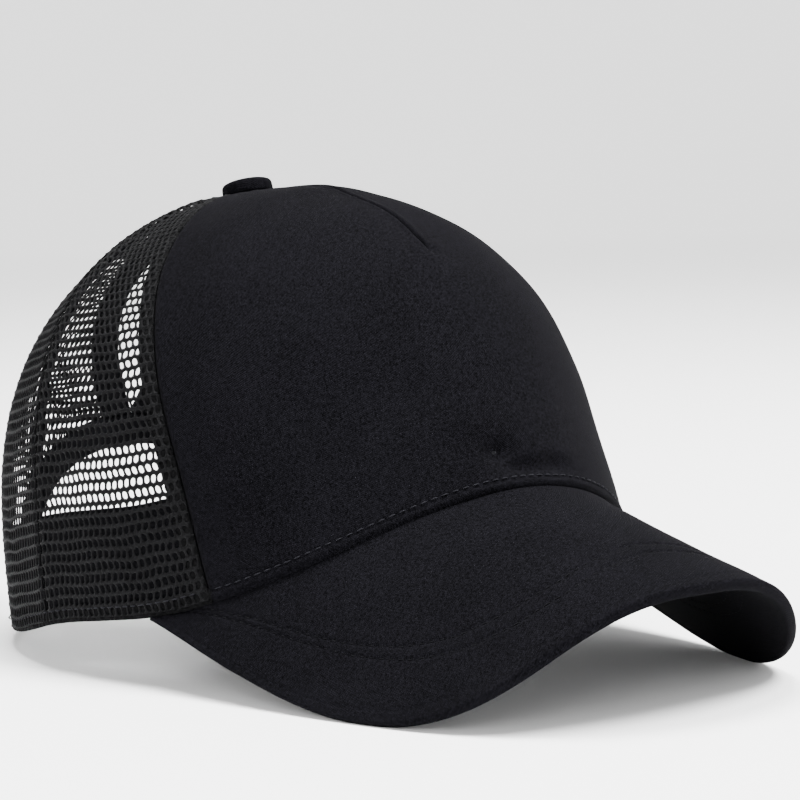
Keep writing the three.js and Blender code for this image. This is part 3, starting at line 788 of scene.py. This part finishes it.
def folded_net(name, place, low, high, stations, thickness, length, seed):
    """Net folded on itself, nearly closed: a soft strip whose top is pitted by bells on a brick
    pattern, where holes line up, and ridged by a cosine along it."""
    across, rise = tape_section(44, 0.45, 0.7)
    station = np.linspace(0, 1, stations)[:, None] + 0 * across
    reach = mix(low, high, (across[None] + 1) / 2) + 0 * station
    along = station * length
    pitch, row = 2.3, 1.6
    lane = np.floor(along / row)
    x = (reach + 0.5 * pitch * (lane % 2) + 0.25 * ripple(reach, along, 7, seed)) / pitch
    pit = bell((x - np.round(x)) * pitch, 0.5) * bell((along / row - lane - 0.5) * row, 0.5)
    rows = 0.5 + 0.5 * np.cos(2 * math.pi * along / 3.2 + 0.9 * np.sin(2 * math.pi * reach / 2.3))
    height = thickness / 2 * (rise[None] - 1) - 0.5 + (rise[None] > 0) * (
        0.2 * rows - 0.35 * pit + 0.14 * ripple(reach, along, 2.3, seed + 1))
    points = place(station, reach, height)
    flat = np.stack([along, reach], -1)
    # The material is the net's colour halved: painted shade of the folded layers.
    material = finishes()["cap_folded_net_painted_shade"]
    return new_piece(name, points, loop_faces(stations, len(across)), material, flat=flat)


class CAP_OT_front_panel(bpy.types.Operator):
    """Plain cloth front panel, with its dart, turned edges and the stitches over the brim"""

    bl_idname = "cap.front_panel"
    bl_label = "Front panel"

    def execute(self, context):
        rows, columns = 160, 281
        v = np.linspace(0, 1, rows)[:, None]
        sideways = np.linspace(-1, 1, columns)[None]
        share = (0.25 * v**3 + 0.75 * v) * CROWN_TOP + 0 * sideways
        seam = seam_angle("front", share)
        edge = seam - 0.15 / ring_speed(seam, share)
        # Columns crowd towards the dart.
        angle = edge * np.sign(sideways) * np.abs(sideways) ** 1.3
        up = share * WALL
        to_seam = (edge - np.abs(angle)) * ring_speed(angle, share)
        across = crown_base(angle, share)[..., 0]
        fade = 1 - smooth(share, RELIEF_TOP, CROWN_TOP)
        dart = smooth(share, DART_END - 0.012, DART_END + 0.03) * fade
        drift = 0.35 * np.sin(share * 31) * dart
        lift = 0.22 * ripple(angle * 1.6, up, 42, 3) * smooth(to_seam, 0, 8)
        lift = lift - DART_DEPTH * dart * bell(across - drift, DART_WIDTH) + DART_SWELL * dart * (
            bell(across - drift - 1.3, 1.1) + bell(across - drift + 1.3, 1.1))
        lift = lift - 0.8 * bell(across - 0.8, 1.5) * bell(up - DART_END * WALL - 1, 2.2)
        lift = lift + 0.3 * bell(across + 3, 2.5) * bell(up - DART_END * WALL, 4.0)
        lift = lift - 0.9 * np.exp(-to_seam / 0.5) - 0.7 * np.exp(-up / 0.5)
        lift = lift + 0.42 * bell(up - 1.1, 0.9) - 0.4 * bell(up - 2.4, 0.42)
        for place, high, wide, tall, depth in CREASES:
            lift = lift - depth * bell(across - place, wide) * bell(up - high, tall)
        # The lower edge bears on the brim.
        sag = 0.8 * np.exp(-up / 0.8)
        outer = on_wall(angle, share, lift)
        inner = on_wall(angle, share, -1.2 - 0.3 * dart * bell(across, 4))
        outer[..., 2] -= sag
        inner[..., 2] -= sag
        arc = arc_between(0.0, angle, share, 12)
        flat = np.concatenate([np.stack([arc, up], -1).reshape(-1, 2)] * 2)
        points = np.concatenate([outer.reshape(-1, 3), inner.reshape(-1, 3)])
        cloth = finishes()["cap_twill"]
        new_piece("front_panel_cloth", points, shell_faces(rows, columns), cloth,
                  ("front_panel",), flat)
        ends = np.linspace(-0.985, 0.985, 400) * SEAMS["front"][0]
        over_brim = seam_line(ends, share_above(ends, np.full(400, 2.4)), 0.02)
        sew("front_panel_stitches", [over_brim])
        return {"FINISHED"}


class CAP_OT_net(bpy.types.Operator):
    """Net of the sides and back, hole by hole, and the folded net along its edges"""

    bl_idname = "cap.net"
    bl_label = "Net panels"

    def execute(self, context):
        middle_side = lambda share: (seam_angle("front", share) + seam_angle("side", share)) / 2
        middle_back = lambda share: (seam_angle("side", share) + 180) / 2
        shares = np.linspace(0, 1, 400)
        front_arc = arc_between(middle_side(shares), seam_angle("front", shares), shares) + 0.2
        side_arc = arc_between(middle_side(shares), seam_angle("side", shares), shares) - 0.12
        seam_arc = arc_between(middle_back(shares), seam_angle("side", shares), shares) + 0.12
        back_arc = arc_between(middle_back(shares), 180.0, shares) - opening_edge(shares * WALL, 4.5)
        limit = lambda arcs: (lambda share: np.interp(share, shares, arcs))
        for word, side in SIDES:
            net_cells("side_net_" + word, side, middle_side, limit(front_arc), limit(side_arc),
                      ("side_mesh_" + word,))
            net_cells("back_net_" + word, side, middle_back, limit(seam_arc), limit(back_arc),
                      ("back_mesh_" + word,))
            self.strip(word, side)
            self.hem(word, side)
        return {"FINISHED"}

    def strip(self, word, side):
        """Net folded under beside the front panel, so that its holes are filled there."""
        width, top = millimetres(bpy.context.scene.cap_sizes.strip_width), 0.965

        def beside(station, reach, height):
            """The front seam moved back by the reach, which narrows at the top."""
            share = station * top
            seam = seam_angle("front", share)
            narrow = np.minimum(1, (1 - station) * 6 + 0.35)
            return on_wall(side * (seam + (0.15 + reach * narrow) / ring_speed(seam, share)), share, height)

        folded_net("seam_strip_" + word, beside, 0.0, width, 420, 1.1, WALL * top, 11)

    def hem(self, word, side):
        """The folded edge along the rim, from the front panel to the arch, and its stitches."""
        end = float(back_angle(ARCH_HALF_WIDTH + 4, 0.01))

        def along_rim(station, reach, height):
            """The rim at even angles, moved up by the reach, or straight down below it."""
            angle = mix(SEAMS["front"][0] - 0.3, end, station)
            points = on_wall(side * angle, share_above(angle, np.maximum(reach, 0)), height)
            points[..., 2] += np.minimum(reach, 0)
            return points

        folded_net("rim_hem_" + word, along_rim, -1.0, 3.2, 330, 1.2, 132.0, 23)
        angle = np.linspace(SEAMS["front"][0] + 2, end, 300)
        hem = seam_line(side * angle, share_above(angle, np.full(300, 2.6)), 0.36)
        sew("rim_stitches_" + word, [hem], 2.0)


class CAP_OT_bindings(bpy.types.Operator):
    """Folded tape round the arch and round the ponytail hole, and its stitches"""

    bl_idname = "cap.bindings"
    bl_label = "Bindings"

    def execute(self, context):
        cloth = (finishes()["cap_tape"], "binding_tape")
        count = 200
        share = np.linspace(0, 1, count)

        def wobble(station, edge):
            """Two slow sines along the tape."""
            return 0.12 * np.sin(station * 0.9 + edge) + 0.08 * np.sin(station * 0.37)

        def round_arch(station, reach, height):
            """The arch's own curve moved out by the reach, laid on the back."""
            across, up = arch_point(share[station], reach)
            return on_back(across, up, height + 0.5 * wobble(station, reach))

        zero = np.zeros(count)
        hole_foot = ARCH_HEIGHT + BINDING_WIDTH
        grooves = ((BINDING_SEW, 0.28, 0.5), (-BINDING_SEW, 0.28, 0.5))
        section = tape_section(40, 0.3, 0.55)
        tape("arch_tape", round_arch, zero, zero + BINDING_WIDTH, -0.1, 2.3, cloth, ("arch_binding",),
             grooves, section)
        edges = (BINDING_SEW, BINDING_WIDTH - BINDING_SEW)
        lines = [back_line(*arch_point(share, edge), 0.78) for edge in edges]
        for word, side in SIDES:
            tuck = -0.45 if side > 0 else 0.15

            def round_hole(station, reach, height, side=side, tuck=tuck):
                """Half the leaf's curve moved out by the reach, one half tucked under at the top."""
                across, up = hole_point(share[station], reach)
                low = 1 - smooth(up, hole_foot, hole_foot + 8)
                high = smooth(share[station], 0.9, 0.99)
                sink = np.where(high > 0, tuck * high, 0) - 0.25 * low
                return on_back(side * across, up, height + sink + 0.4 * wobble(station, reach))

            tape("hole_tape_" + word, round_hole, zero, zero + BINDING_WIDTH, -0.1, 2.2, cloth,
                 ("hole_binding_" + word,), grooves, section)
            for edge in edges:
                across, up = hole_point(np.linspace(0.06, 0.97, count), edge)
                lines.append(back_line(side * across, up, 0.72))
        sew("binding_stitches", lines, 2.0)
        return {"FINISHED"}


class CAP_OT_inside(bpy.types.Operator):
    """Sweatband and the tapes over the seams inside, with their stitches"""

    bl_idname = "cap.inside"
    bl_label = "Sweatband and seam tapes"

    def execute(self, context):
        band = (finishes()["cap_band"], "sweatband_cloth")
        flat_tape = (finishes()["cap_tape"], "seam_tape")
        count = 320
        end = float(back_angle(ARCH_HALF_WIDTH + BINDING_WIDTH + 0.4, 0.1))
        angle = np.linspace(-end, end, count)
        zero = np.zeros(count)

        def inside(station, reach, height):
            """The rim at even angles, moved up by the reach, with a slow puckered lower edge."""
            turn = angle[station]
            puff = 0.12 * np.sin(station * 0.8) * bell(reach - 4, 3)
            return on_wall(turn, share_above(turn, reach), height + puff)

        tape("sweatband_cloth", inside, zero + BAND_LIFT, zero + BAND_LIFT + BAND_HEIGHT, -2.7, 1.7, band,
             ("sweatband",), ((3.0, 0.3, 0.7), (-2.4, 0.2, 0.6)), tape_section(48, 0.3, 0.5))
        outward = seam_line(angle, share_above(angle, np.full(count, BAND_LIFT + 3)), -3.3)
        lines = [(outward[0], -outward[1])]
        sew("sweatband_stitches", lines)
        rows = []
        band_top = BAND_LIFT + BAND_HEIGHT
        for word, side in SIDES:
            for seam, width, shift, depth, foot in TAPES:
                start = share_above(seam_angle(seam, np.array([0.2])), TAPE_START)
                share = mix(start, TAPE_TOP, np.linspace(0, 1, 110))
                # The foot thins and lies between the band and the wall.
                clear = smooth(share * WALL, band_top + 0.1, band_top + 3.5)

                def over_seam(station, reach, height, side=side, seam=seam, share=share):
                    """The seam moved back by the reach."""
                    up = share[station]
                    turn = seam_angle(seam, up)
                    return on_wall(side * (turn + reach / ring_speed(turn, up)), up, height)

                low = np.full(110, shift - width / 2)
                tape(f"{seam}_tape_{word}", over_seam, low, low + width, mix(foot, depth, clear),
                     mix(0.35, 1.0, clear), flat_tape,
                     (f"{seam}_seam_tape_{word}",), (), tape_section(20, 0.3, 0.6))
                for edge in (1.2, width - 1.2):
                    turn = seam_angle(seam, share)
                    aside = (low[0] + edge) / ring_speed(turn, share)
                    line = seam_line(side * (turn + aside), share, depth - 0.5)
                    free = clear > 0.98
                    rows.append((line[0][free], -line[1][free]))
        sew("seam_tape_stitches", rows, 2.0)
        return {"FINISHED"}


class CAP_OT_strap(bpy.types.Operator):
    """The two halves of the adjustable strap, with their stitched feet"""

    bl_idname = "cap.strap"
    bl_label = "Strap"

    def execute(self, context):
        webbing = (finishes()["cap_band"], "strap_webbing")
        count = 130
        foot = ARCH_HALF_WIDTH + BINDING_WIDTH
        lines = []
        for name, side, start, past, tip in (("strap_outer", 1, foot + 2, 36.0, 12.0),
                                             ("strap_inner", -1, foot, 22.0, 0.0)):
            across = np.linspace(start, -past, count)
            near_tip = np.clip((tip - (across + past)) / 12, 0, 1)
            taper = 8 * near_tip**1.6
            low, high = STRAP_LIFT + taper / 2, STRAP_LIFT + STRAP_HEIGHT - taper / 2
            if tip:
                bend = smooth(across / ARCH_HALF_WIDTH, 0.56, 0.84)
                lift = mix(-1.3, 1.0, bend) + 0.75
            else:
                lift = np.full(count, -1.6 - 0.75)

            def along(station, reach, height, side=side, across=across):
                """A level line across the back, moved up by the reach."""
                return on_back(side * across[station], reach, height)

            tape(name + "_webbing", along, low, high, lift, STRAP_THICKNESS, webbing, (name,),
                 ((STRAP_SEW, 0.2, 0.5), (-STRAP_SEW, 0.2, 0.5)), tape_section(40, 0.3, 0.5))
            for edge in (STRAP_SEW, STRAP_HEIGHT - STRAP_SEW):
                keep = across > -past + tip
                up = np.full(keep.sum(), STRAP_LIFT + edge)
                lines.append(back_line(side * across[keep], up, lift[keep] + 0.62))
            up = np.linspace(STRAP_LIFT + STRAP_SEW, STRAP_LIFT + STRAP_HEIGHT - STRAP_SEW, 40)
            for inset in (1.6, 6.5):
                if tip:
                    lines.append(back_line(np.full(40, side * (start - inset)), up, lift[0] + 0.75))
        sew("strap_stitches", lines)
        return {"FINISHED"}


class CAP_OT_brim(bpy.types.Operator):
    """Bent brim covered in cloth, with its rows of stitches and its turned edge"""

    bl_idname = "cap.brim"
    bl_label = "Brim"

    def execute(self, context):
        stations, top, turn, under = 240, 110, 14, 60
        sideways = np.linspace(-BRIM_END, BRIM_END, stations)[:, None]
        out = np.linspace(0, 1, top)[None]
        rays = brim_top(sideways, 1.0) - brim_top(sideways, 0.0)
        length = np.maximum(np.linalg.norm(rays, axis=-1), 1.0)
        from_edge = (1 - out) * length
        grooves = sum(0.45 * bell((out - brim_row(sideways, step)) * length, 0.45)
                      for step in BRIM_ROW_STEPS)
        lift = -grooves + 0.1 * ripple(sideways * 75, out * 60, 26, 5) * smooth(from_edge, 0, 6)
        lift = lift - 0.12 * bell(from_edge - 3.4, 0.6)
        upper = brim_top(sideways, out) + brim_normal(sideways, out) * lift[..., None]
        normal = brim_normal(sideways, np.ones(1))
        edge = brim_top(sideways, np.ones(1))
        outward = unit(edge - brim_top(sideways, np.full(1, 0.97)))
        phase = (np.arange(1, turn + 1) / (turn + 1) * math.pi)[None, :, None]
        half = (BRIM_HALF_THICKNESS * (1 - 0.75 * smooth(np.abs(sideways), 0.86, BRIM_END)))[..., None]
        round_edge = (edge - normal * half * (1 - np.cos(phase))
                      + outward * 0.7 * half * np.sin(phase) ** 0.8)
        back = np.linspace(1, 0, under)[None]
        below = 0.12 * (sum(bell((back - brim_row(sideways, step)) * length, 0.5)
                            for step in BRIM_ROW_STEPS) + bell((1 - back) * length - 3.4, 0.6))
        depth = (2 * half[..., 0] - below)[..., None]
        lower = brim_top(sideways, back) - brim_normal(sideways, back) * depth
        section = np.concatenate([upper, round_edge, lower], 1)
        spread = np.concatenate([out[0], 1 + np.arange(turn) * 0.005, back[0]])
        flat = np.stack([sideways * 78 + 0 * spread, spread * length], -1)
        new_piece("brim_cloth", section, loop_faces(stations, section.shape[1]),
                  finishes()["cap_twill"], ("brim",), flat)
        lines = []
        for step in BRIM_ROW_STEPS:
            s = np.linspace(-0.9, 0.9, 500)
            v = np.maximum(brim_row(s, step), 0.0)
            keep = v > 0.01
            normal = brim_normal(s[keep], v[keep])
            for face, depth in ((1, -0.3), (-1, -3.02)):
                lines.append((brim_top(s[keep], v[keep]) + normal * depth, normal * face))
        sew("brim_stitches", lines, finish="cap_dark_thread", finer=0.9)
        return {"FINISHED"}


class CAP_OT_button(bpy.types.Operator):
    """Covered button on top of the crown"""

    bl_idname = "cap.button"
    bl_label = "Button"

    def execute(self, context):
        radius = millimetres(context.scene.cap_sizes.button_radius)
        around, rounds = 72, 26
        turn = (np.arange(around) / around * 2 * math.pi)[None]
        t = np.linspace(0, 1, rounds)[:, None]
        # Side profile: out under the skirt, up a rounded wall, and in over a low dome.
        profile_r = np.array([0.0, 0.6, 0.96, 1.0, 1.0, 0.985, 0.93, 0.8, 0.55, 0.25, 0.0]) * radius
        profile_z = np.array([-0.9, -1.1, -1.1, -0.5, 1.1, 2.1, 2.75, 3.15, 3.38, 3.48, 3.5])
        pleat = 1 + 0.012 * np.sin(turn * 14) * bell(t - 0.3, 0.16)
        r, z = soften(profile_r, t, 0.03) * pleat, soften(profile_z, t, 0.03) + 0 * turn
        r = r * np.where((t == 0) | (t == 1), 0, 1)
        local = np.stack([r * np.cos(turn), r * np.sin(turn), z], -1)
        seat = drop_beside(0.0, BUTTON_SHIFT)
        edges = [drop_beside(0.0, BUTTON_SHIFT + end * radius) for end in (-1, 1)]
        lean = math.atan((edges[1] - edges[0]) / 2 / radius)
        centre = np.array([0, BUTTON_SET_BACK + BUTTON_SHIFT, HEIGHT - seat + BUTTON_LIFT])
        c, s = math.cos(lean), math.sin(lean)
        x, y, z = local[..., 0], local[..., 1], local[..., 2]
        points = np.stack([x, c * y + s * z, c * z - s * y], -1) + centre
        flat = np.stack([local[..., 0], local[..., 1] + local[..., 2]], -1)
        new_piece("button_cloth", points, grid_faces(rounds, around, closed=True), finishes()["cap_twill"],
                  ("button",), flat)
        return {"FINISHED"}


class CAP_OT_stage(bpy.types.Operator):
    """Pale floor and backdrop, soft lights and the camera"""

    bl_idname = "cap.stage"
    bl_label = "Studio"

    def execute(self, context):
        scene = context.scene
        self.floor(scene)
        self.lamps(scene)
        self.camera(scene)
        return {"FINISHED"}

    def floor(self, scene):
        """A floor that curves up into a backdrop all round: a disc whose edge rises as a power."""
        around, rings = 96, 60
        turn = (np.arange(around) / around * 2 * math.pi)[None]
        t = np.linspace(0.001, 1, rings)[:, None]
        radius = 7 * t
        height = 3.5 * np.maximum(t - 0.55, 0) ** 2 / 0.2 + 0 * turn
        points = np.stack([radius * np.cos(turn), radius * np.sin(turn), height], -1).reshape(-1, 3)
        quads = grid_faces(rings, around, closed=True)[:, ::-1]
        mesh = bpy.data.meshes.new("studio_floor")
        mesh.from_pydata(points.tolist(), [], quads.tolist() + [list(range(around))])
        mesh.polygons.foreach_set("use_smooth", np.ones(len(mesh.polygons), bool))
        mesh.update()
        paint = Paint("studio_paper")
        place = paint.node("ShaderNodeTexCoord", output=3)
        colour = tuple(scene.cap_colours.floor) + (1.0,)
        base = paint.blend(tone(colour, 0.985), tone(colour, 1.015), paint.noise(place, 1.5))
        # Far from the cap the paper glows a little, so that the backdrop is as pale as the floor.
        away = paint.node("ShaderNodeVectorMath", {"operation": "LENGTH"}, {0: place}, 1)
        far = paint.node("ShaderNodeClamp", {}, {0: away * 0.4 - 0.45})
        glow = paint.blend((0.0, 0.0, 0.0, 1.0), colour, far)
        mesh.materials.append(paint.finish(Base_Color=base, Roughness=0.95, Specular_IOR_Level=0.1,
                                           Emission_Color=glow, Emission_Strength=0.75))
        floor = bpy.data.objects.new("studio_floor", mesh)
        scene.collection.objects.link(floor)

    def lamps(self, scene):
        """Large soft lamps in front, above and on the left, and an even pale surrounding."""
        world = bpy.data.worlds.new("studio_air")
        world.use_nodes = True
        world.node_tree.nodes["Background"].inputs[0].default_value = (1.0, 1.0, 1.0, 1.0)
        world.node_tree.nodes["Background"].inputs[1].default_value = 1.0
        scene.world = world
        for name, place, size, power in LAMPS:
            lamp = bpy.data.lights.new(name, "AREA")
            lamp.shape, lamp.size, lamp.energy = "DISK", size, power
            holder = bpy.data.objects.new(name, lamp)
            holder.location = place
            aim = Vector((0, 0, 0.05)) - Vector(place)
            holder.rotation_euler = aim.to_track_quat("-Z", "Y").to_euler()
            scene.collection.objects.link(holder)

    def camera(self, scene):
        """Stands back from its aim along azimuth and elevation, then rolls about its line of sight."""
        view = scene.cap_view
        a, e = view.azimuth, view.elevation
        back = Vector((math.sin(a) * math.cos(e), -math.cos(a) * math.cos(e), math.sin(e)))
        right = Vector((math.cos(a), math.sin(a), 0))
        up = back.cross(right)
        c, s = math.cos(view.roll), math.sin(view.roll)
        right, up = c * right + s * up, c * up - s * right
        lens = bpy.data.cameras.new("camera")
        lens.lens, lens.sensor_width, lens.clip_start = view.focal, 36.0, 0.01
        camera = bpy.data.objects.new("camera", lens)
        turned = Matrix((right, up, back)).transposed().to_4x4()
        turned.translation = Vector(CAMERA_AIM) + back * view.distance
        camera.matrix_world = turned
        scene.collection.objects.link(camera)
        scene.camera = camera


STEPS = (CAP_OT_stage, CAP_OT_front_panel, CAP_OT_net, CAP_OT_bindings, CAP_OT_inside, CAP_OT_strap,
         CAP_OT_brim, CAP_OT_button)


class CAP_PT_panel(bpy.types.Panel):
    """Lists the cap's pieces, sizes and colours"""

    bl_label = "Ponytail cap"
    bl_idname = "CAP_PT_panel"
    bl_space_type = "VIEW_3D"
    bl_region_type = "UI"
    bl_category = "Cap"

    def draw(self, context):
        for step in STEPS:
            self.layout.operator(step.bl_idname)
        for group in (context.scene.cap_sizes, context.scene.cap_colours, context.scene.cap_view):
            for key in group.bl_rna.properties.keys():
                if key not in ("rna_type", "name"):
                    self.layout.prop(group, key)


CLASSES = (CapSizes, CapColours, CapView) + STEPS + (CAP_PT_panel,)


def register():
    for kind in CLASSES:
        bpy.utils.register_class(kind)
    bpy.types.Scene.cap_sizes = bpy.props.PointerProperty(type=CapSizes)
    bpy.types.Scene.cap_colours = bpy.props.PointerProperty(type=CapColours)
    bpy.types.Scene.cap_view = bpy.props.PointerProperty(type=CapView)


def unregister():
    for key in ("cap_sizes", "cap_colours", "cap_view"):
        delattr(bpy.types.Scene, key)
    for kind in reversed(CLASSES):
        bpy.utils.unregister_class(kind)


def main():
    register()
    for step in STEPS:
        group, word = step.bl_idname.split(".")
        getattr(getattr(bpy.ops, group), word)()


if __name__ == "__main__":
    main()
